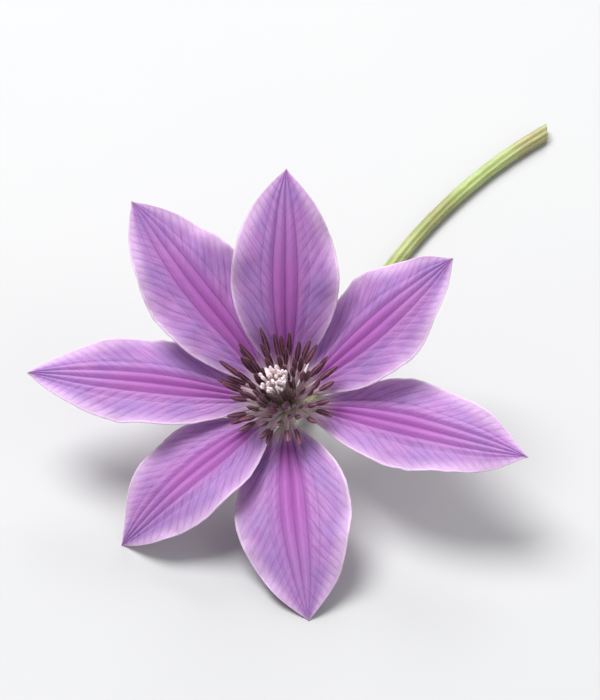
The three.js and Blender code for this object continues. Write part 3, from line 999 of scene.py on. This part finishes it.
def buildStyle(bm, mapLayer, shoot, chance):
    rows = pistil["styleRows"]
    path = ringsAlong(swayingCurve(shoot, pistil["sway"]), 0.0, 1.0, rows, True)

    def thread(turn, along, row):
        if row in (0, len(path) - 1):
            return 0, 0
        taper = lerp(*pistil["styleTaper"], ease(along, 0, pistil["styleTaperEnd"]))
        stigma = pistil["stigmaSwelling"] * ease(along, *pistil["stigmaEnds"])
        rounding = 1 - pistil["stigmaRounding"] * ease(along, pistil["stigmaRoundingFrom"], 1)
        return roundOutline(pistil["styleRadius"] * (taper + stigma) * rounding, turn)

    points, frames = growTube(bm, path, thread, pistil["styleSides"], mapLayer, 0)
    for i in range(pistil["hairsPerStyle"]):
        row = chance.randrange(1, rows - 3)
        side, front = frames[row]
        turn = chance.uniform(0, math.tau)
        out = side * math.cos(turn) + front * math.sin(turn)
        upwards = side.cross(front)
        direction = (upwards * chance.uniform(*pistil["hairRise"]) + out).normalized()
        root = points[row].lerp(points[row + 1], chance.random())
        root += out * pistil["styleRadius"] * pistil["hairSink"]
        length = pistil["hairLength"] * chance.uniform(*pistil["hairStretch"])
        addHair(bm, root, direction, length, pistil["hairThickness"], 1)


def buildCarpel(bm, mapLayer, shoot):
    # an egg with a beak, at the foot of its style
    at = lambda t: bloom @ shootPoint(shoot, t)
    start, end = [pistil["carpelLength"] / shoot["length"] * share for share in pistil["carpelSpan"]]
    path = ringsAlong(at, start, end, pistil["carpelRows"], False)

    def egg(turn, along, row):
        if row in (0, len(path) - 1):
            return 0, 0
        return roundOutline(pistil["carpelRadius"] * math.sin(math.pi * along ** 0.75), turn)

    growTube(bm, path, egg, pistil["carpelSides"], mapLayer, 2)


def buildPistil(materials):
    bm = bmesh.new()
    mapLayer = bm.loops.layers.uv.new("shootMap")
    chance = random.Random(pistil["seed"])
    mound = pistil["moundProfile"]
    last = len(mound) - 1
    path = [(bloom @ Vector((0, 0, height)), i / last) for i, (radius, height) in enumerate(mound)]

    def heap(turn, along, row):
        return roundOutline(mound[row][0], turn)

    growTube(bm, path, heap, pistil["moundSides"], mapLayer, 2)
    for shoot in ringShoots(pistil) + fillerShoots(pistil, chance):
        buildCarpel(bm, mapLayer, shoot)
        buildStyle(bm, mapLayer, shoot, chance)
    makePiece(bm, "styleTuft", materials, "pistil")


pistilColours = {
    "styleFoot": (222, 220, 176),
    "style": (252, 238, 230),
    "stigma": (255, 238, 245),
    "blush": (246, 216, 222),
}


def styleMaterial(colours):
    material, tree = newTree("creamStyle")
    along = split(tree, mapOf(tree, "shootMap"), "Y")[0]
    spot = objectSpot(tree)
    body = paintOver(tree, fade(tree, along, 0.02, 0.4), colours["styleFoot"], colours["style"])
    body = paintOver(tree, fade(tree, along, 0.8, 0.95, 0, 0.85), body, colours["stigma"])
    blush = fade(tree, grain(tree, spot, 2.2, 2.0), 0.5, 0.75, 0, 0.2)
    body = paintOver(tree, blush, body, colours["blush"])
    height = product(tree, grain(tree, spot, 10.0, 2.0), 0.03)
    surface(tree, body, 0.5, bumpFrom(tree, height), through=0.1, Sheen_Weight=0.3, Sheen_Roughness=0.4)
    return material


def silkMaterial(name, colour, shimmer=14):
    # fine hairs, some of them lighter
    material, tree = newTree(name)
    lighter = [min(255, channel + shimmer) for channel in colour]
    body = paintOver(tree, grain(tree, objectSpot(tree), 0.8, 2.0), tint(*colour), tint(*lighter))
    surface(tree, body, 0.4, through=0.35, Specular_IOR_Level=0.5)
    return material


creamStyle = styleMaterial(palette(pistilColours))
silk = silkMaterial("silkHair", (241, 236, 226))
buildPistil([creamStyle, silk, downyGreen])
print("pistil done")


# Stalk with the swollen receptacle at its top, from the receptacle's face to the slanting cut. Its
# places are measured from below the bloom's foot, and its leads are the handles of the route's curves.
stalk = {
    "radius": 1.05,
    "cutEndRadius": 1.2,
    "taperFrom": 0.6,             # the share of its length from which it widens
    "flat": 0.15,                 # how far its underside is pressed flat
    "landing": (6.8, 18.5),       # where the drop from the bloom ends and the run on the table begins
    "landingHeading": 68,
    "cutEnd": (43, 71),
    "cutEndHeading": 38,
    "cutSlant": 35,               # how far the cut turns away from a square one
    "cutBack": 1.54,              # how far before the end it crosses the stalk's middle
    "pastCut": 3,
    "dropLead": 7,
    "dropSteps": 200,
    "landingLead": 8.5,
    "runLead": 22,
    "runSteps": 300,
    "startHeight": -2.2,
    # heights and radii, in the bloom's own frame
    "receptacle": [(0.6, 0.0), (0.6, 0.9), (0.6, 1.8), (0.58, 2.45), (0.45, 2.75), (0.2, 2.95), (-0.1, 3.02),
                   (-0.4, 3.04), (-0.65, 2.97), (-0.9, 2.74), (-1.15, 2.38), (-1.4, 2.02), (-1.7, 1.66),
                   (-2.0, 1.4), (-2.3, 1.26), (-2.7, 1.14), (-3.2, 1.05)],
    "joinAt": 1.15,               # how far down its route the stalk takes over from the receptacle
    "swelling": 0.27,             # how much it bulges under a claw, as a share of its radius
    "swellingSpread": 21,
    "swellingHeight": -0.5,
    "swellingDepth": 0.78,
    "swellingLowest": -2.2,
    "swellingInner": 1,
    "sides": 72,
    "stepMm": 0.42,
    "cutRings": [(0.93, 0.03), (0.82, -0.05), (0.7, 0.02), (0.56, 0.02), (0.42, -0.03), (0.28, 0.01),
                 (0.12, 0.02)],
    "ribs": 8,
    "ribHeight": 0.075,
    "ribTwist": 0.9,              # by how many rib widths the ribs turn from end to end
    "unevenness": 0.05,
    "unevenPitch": 40,
    "seed": 23,
    "hairs": 2600,
    "hairRows": (6, 8),           # rows left bare at the top and at the cut
    "hairLength": 0.5,
    "hairStretch": (0.5, 1.2),
    "hairLean": (-0.5, 0.5),
    "hairSink": 0.03,
    "hairThickness": 0.055,
    "bareAtCut": 0.6,
    "bareBelow": 0.15,
    "lyingHeight": 1.6,           # below this the stalk lies on the table, and its underside is bare
    "underside": -0.6,
    "hairClearance": 0.05,
}


def cubic(a, b, c, d, t):
    s = 1 - t
    return a * s ** 3 + b * (3 * s * s * t) + c * (3 * s * t * t) + d * t ** 3


def stalkEnd():
    # the middle of the end that the cut goes through
    return bloomFoot + Vector((*stalk["cutEnd"], stalk["cutEndRadius"] - stalk["flat"]))


def stalkRoute():
    # down from the receptacle, a bend on to the table, and along it
    landing = levelHeading(math.radians(stalk["landingHeading"]))
    leaving = levelHeading(math.radians(stalk["cutEndHeading"]))
    start = bloom @ Vector((0, 0, stalk["startHeight"]))
    touch = bloomFoot + Vector((*stalk["landing"], stalk["radius"] - stalk["flat"]))
    end = stalkEnd()
    drop = (start, start - bloomAxis * stalk["dropLead"], touch - landing * stalk["landingLead"], touch)
    run = (touch, touch + landing * stalk["runLead"], end - leaving * stalk["runLead"], end)
    dropSteps, runSteps = stalk["dropSteps"], stalk["runSteps"]
    route = [cubic(*drop, i / dropSteps) for i in range(dropSteps + 1)]
    route += [cubic(*run, i / runSteps) for i in range(1, runSteps + 1)]
    # past the cut, so that the cutting plane goes right through
    route.append(end + leaving * stalk["pastCut"])
    return route


def cutPlane():
    # where the slanting cut crosses the stalk's middle, and the level angle that it faces
    heading = math.radians(stalk["cutEndHeading"])
    facing = heading - math.radians(stalk["cutSlant"])
    return stalkEnd() - levelHeading(heading) * stalk["cutBack"], facing


def evenly(points, step):
    # the same route with points a step apart, as (point, distance)
    spaced = [(points[0], 0.0)]
    walked = 0.0
    for a, b in zip(points, points[1:]):
        length = (b - a).length
        while spaced[-1][1] + step <= walked + length:
            distance = spaced[-1][1] + step
            spaced.append((a.lerp(b, (distance - walked) / length), distance))
        walked += length
    return spaced


def stalkRings():
    # the rings as growTube takes them, and their radii
    top = [(bloom @ Vector((0, 0, height)), radius) for height, radius in stalk["receptacle"]]
    route = evenly(stalkRoute(), stalk["stepMm"])
    whole = route[-1][1]
    rings = [(point, 0.0) for point, radius in top]
    radii = [radius for point, radius in top]
    for point, distance in route:
        if distance > stalk["joinAt"]:
            along = distance / whole
            rings.append((point, along))
            radii.append(lerp(stalk["radius"], stalk["cutEndRadius"], ease(along, stalk["taperFrom"], 1)))
    rings.append((rings[-1][0], 1.0))
    radii.append(0.0)
    return rings, radii


def swellReceptacle(verts):
    # it swells a little under each tepal's claw
    into = bloom.inverted()
    for vert in verts:
        spot = into @ vert.co
        if spot.z < stalk["swellingLowest"] or spot.xy.length < stalk["swellingInner"]:
            continue
        azimuth = math.degrees(math.atan2(spot.y, spot.x))
        apart = min(abs((azimuth - tepal["azimuth"] + 180) % 360 - 180) for tepal in tepals)
        bulge = math.exp(-((apart / stalk["swellingSpread"]) ** 2))
        bulge *= math.exp(-(((spot.z - stalk["swellingHeight"]) / stalk["swellingDepth"]) ** 2))
        spot.xy *= 1 + stalk["swelling"] * bulge
        vert.co = bloom @ spot


def makeCut(bm, cutSpot, cutNormal, material):
    # the slanting cut, closed with a ring of tissue round the pith
    geometry = bm.verts[:] + bm.edges[:] + bm.faces[:]
    cut = bmesh.ops.bisect_plane(bm, geom=geometry, plane_co=cutSpot, plane_no=cutNormal, clear_outer=True)
    rim = [g for g in cut["geom_cut"] if isinstance(g, bmesh.types.BMEdge)]
    middle = sum((vert.co for edge in rim for vert in edge.verts), Vector()) / (2 * len(rim))
    share = 1.0
    for nextShare, depth in stalk["cutRings"]:
        made = bmesh.ops.extrude_edge_only(bm, edges=rim)["geom"]
        fresh = {g for g in made if isinstance(g, bmesh.types.BMVert)}
        rim = [g for g in made if isinstance(g, bmesh.types.BMEdge) and set(g.verts) <= fresh]
        for face in {face for vert in fresh for face in vert.link_faces}:
            face.material_index = material
        for vert in fresh:
            vert.co = middle + (vert.co - middle) * (nextShare / share) + cutNormal * depth
        share = nextShare
    bmesh.ops.pointmerge(bm, verts=list(fresh), merge_co=middle)


def buildStalk(materials):
    bm = bmesh.new()
    mapLayer = bm.loops.layers.uv.new("stalkMap")
    rings, radii = stalkRings()

    def ribbed(turn, along, row):
        radius = radii[row]
        ribbing = stalk["ribHeight"] * math.cos(stalk["ribs"] * turn + stalk["ribTwist"] * along * math.tau)
        where = (math.cos(turn), math.sin(turn), along * stalk["unevenPitch"])
        uneven = stalk["unevenness"] * noise.noise(where)
        if 0 < row < len(rings) - 1:
            radius += (ribbing + uneven) * min(1, radius / stalk["radius"])
        return roundOutline(radius, turn)

    points, frames = growTube(bm, rings, ribbed, stalk["sides"], mapLayer, 0)
    swellReceptacle(bm.verts)
    cutSpot, facing = cutPlane()
    cutNormal = levelHeading(facing)
    makeCut(bm, cutSpot, cutNormal, 1)
    for vert in bm.verts:
        vert.co.z = max(vert.co.z, surfaceGap)
    # down
    chance = random.Random(stalk["seed"])
    bareTop, bareEnd = stalk["hairRows"]
    for i in range(stalk["hairs"]):
        row = chance.randrange(bareTop, len(points) - bareEnd)
        turn = chance.uniform(0, math.tau)
        side, front = frames[row]
        out = side * math.cos(turn) + front * math.sin(turn)
        x, y = ribbed(turn, rings[row][1], row)
        root = points[row].lerp(points[row + 1], chance.random())
        root += out * (math.hypot(x, y) - stalk["hairSink"])
        atCut = (root - cutSpot).dot(cutNormal) > -stalk["bareAtCut"]
        beneath = points[row].z < stalk["lyingHeight"] and out.z < stalk["underside"]
        if atCut or beneath or root.z < stalk["bareBelow"]:
            continue
        leaning = Vector([chance.uniform(*stalk["hairLean"]) for axis in "xyz"])
        direction = (out + leaning).normalized()
        length = stalk["hairLength"] * chance.uniform(*stalk["hairStretch"])
        if root.z + direction.z * length > stalk["hairClearance"]:
            addHair(bm, root, direction, length, stalk["hairThickness"], 2)
    makePiece(bm, "stalkAndReceptacle", materials, "stalk")


stalkColours = {
    "green": (140, 164, 88),
    "greenPale": (164, 184, 112),
    "flush": (150, 104, 88),
    "neck": (174, 188, 118),
    "speck": (186, 176, 128),
    "pith": (224, 224, 180),
    "tissue": (162, 176, 104),
    "strand": (120, 126, 70),
    "bark": (124, 122, 70),
}


def stalkSkinMaterial(colours):
    material, tree = newTree("stalkSkin")
    turn, along = split(tree, mapOf(tree, "stalkMap"), "XY")
    spot = objectSpot(tree)
    patches = fade(tree, grain(tree, spot, 0.12, 2.0), 0.38, 0.62)
    body = paintOver(tree, patches, colours["green"], colours["greenPale"])
    # ribs catch the flush, and the hollows between them stay green
    twist = product(tree, along, stalk["ribTwist"] * math.tau)
    crest = calc(tree, "COSINE", total(tree, product(tree, turn, stalk["ribs"] * math.tau), twist))
    streak = streaks(tree, turn, 14.0, along, 30.0)
    broad = grain(tree, spot, 0.09, 2.0)
    flush = total(tree, product(tree, crest, 0.22), product(tree, streak, 0.7), product(tree, broad, 0.9))
    body = paintOver(tree, fade(tree, flush, 0.68, 1.06, 0, 0.7), body, colours["flush"])
    body = paintOver(tree, fade(tree, along, 0.06, 0.0, 0, 0.8), body, colours["neck"])
    speck = fade(tree, grain(tree, spot, 2.6, 2.0), 0.62, 0.74)
    body = paintOver(tree, product(tree, speck, 0.3), body, colours["speck"])
    height = total(tree, product(tree, streak, 0.04), product(tree, grain(tree, spot, 6.0, 3.0), 0.03))
    surface(
        tree, body, 0.5, bumpFrom(tree, height),
        Sheen_Weight=0.2, Sheen_Roughness=0.5, Specular_IOR_Level=0.4,
    )
    return material


def cutTissueMaterial(colours):
    # pale pith, a ring of darker strands, and green bark at the edge
    material, tree = newTree("cutTissue")
    centre, facing = cutPlane()
    spot = objectSpot(tree, centre, (0, 0, facing))
    y, z = split(tree, spot, "YZ")
    y = product(tree, y, math.cos(math.radians(stalk["cutSlant"])))
    radius = calc(tree, "SQRT", total(tree, product(tree, y, y), product(tree, z, z)))
    angle = calc(tree, "ARCTAN2", z, y)
    bundles = fade(tree, calc(tree, "COSINE", product(tree, angle, stalk["ribs"])), 0.0, 0.8)
    strands = product(tree, bundles, fade(tree, radius, 0.5, 0.66), fade(tree, radius, 0.95, 0.8))
    body = paintOver(tree, fade(tree, radius, 0.5, 1.05), colours["pith"], colours["tissue"])
    body = paintOver(tree, product(tree, strands, 0.8), body, colours["strand"])
    body = paintOver(tree, fade(tree, radius, 1.04, 1.15), body, colours["bark"])
    height = product(tree, grain(tree, spot, 6.0, 3.0), 0.06)
    surface(tree, body, 0.42, bumpFrom(tree, height), Specular_IOR_Level=0.5)
    return material


stalkSkin = stalkSkinMaterial(palette(stalkColours))
cutTissue = cutTissueMaterial(palette(stalkColours))
stalkDown = silkMaterial("stalkDown", (216, 218, 190))
buildStalk([stalkSkin, cutTissue, stalkDown])
print("stalk done")


# Table, light and camera, in metres
studio = {
    "tableHalfSize": 1.5,
    "elevation": 45,
    "aim": (0.0, -0.0085, 0.011),
    "distance": 0.575,
    "lens": 200,
    "lights": [
        {"name": "keyLight", "place": (-0.32, 0.22, 0.98), "size": 0.65, "power": 14.0},
        {"name": "fillLight", "place": (0.8, -0.5, 0.6), "size": 0.8, "power": 2.2},
        {"name": "backLight", "place": (0.15, 0.85, 0.6), "size": 0.5, "power": 5.0},
    ],
    "lightAim": (0, 0, 0.01),
    "skyColour": (0.96, 0.98, 1, 1),
    "skyStrength": 0.42,
}


def buildTable():
    bm = bmesh.new()
    bmesh.ops.create_grid(bm, x_segments=1, y_segments=1, size=studio["tableHalfSize"])
    mesh = bpy.data.meshes.new("table")
    bm.to_mesh(mesh)
    bm.free()
    material, tree = newTree("paleTable")
    clouds = grain(tree, objectSpot(tree), 0.02, 2.0)
    body = paintOver(tree, clouds, tint(187, 187, 188), tint(190, 190, 190))
    surface(tree, body, 0.8, Specular_IOR_Level=0.2)
    mesh.materials.append(material)
    table = bpy.data.objects.new("table", mesh)
    bpy.context.scene.collection.objects.link(table)


def addLight(settings):
    light = bpy.data.lights.new(settings["name"], "AREA")
    light.shape = "DISK"
    light.size = settings["size"]
    light.energy = settings["power"]
    lamp = bpy.data.objects.new(settings["name"], light)
    towards = Vector(studio["lightAim"]) - Vector(settings["place"])
    lamp.location = settings["place"]
    lamp.rotation_euler = towards.to_track_quat("-Z", "Y").to_euler()
    lamp.visible_camera = False
    bpy.context.scene.collection.objects.link(lamp)


def setSky():
    world = bpy.data.worlds.new("paleStudio")
    world.use_nodes = True
    background = world.node_tree.nodes["Background"]
    background.inputs["Color"].default_value = studio["skyColour"]
    background.inputs["Strength"].default_value = studio["skyStrength"]
    bpy.context.scene.world = world
    bpy.context.scene.view_settings.view_transform = "Standard"


def addCamera():
    camera = bpy.data.cameras.new("camera")
    camera.lens = studio["lens"]
    camera.clip_start = 0.01
    eye = bpy.data.objects.new("camera", camera)
    elevation = math.radians(studio["elevation"])
    back = Vector((0, -math.cos(elevation), math.sin(elevation)))
    eye.location = Vector(studio["aim"]) + back * studio["distance"]
    eye.rotation_euler = (-back).to_track_quat("-Z", "Y").to_euler()
    bpy.context.scene.collection.objects.link(eye)
    bpy.context.scene.camera = eye


buildTable()
for settings in studio["lights"]:
    addLight(settings)
setSky()
addCamera()
print("studio done")
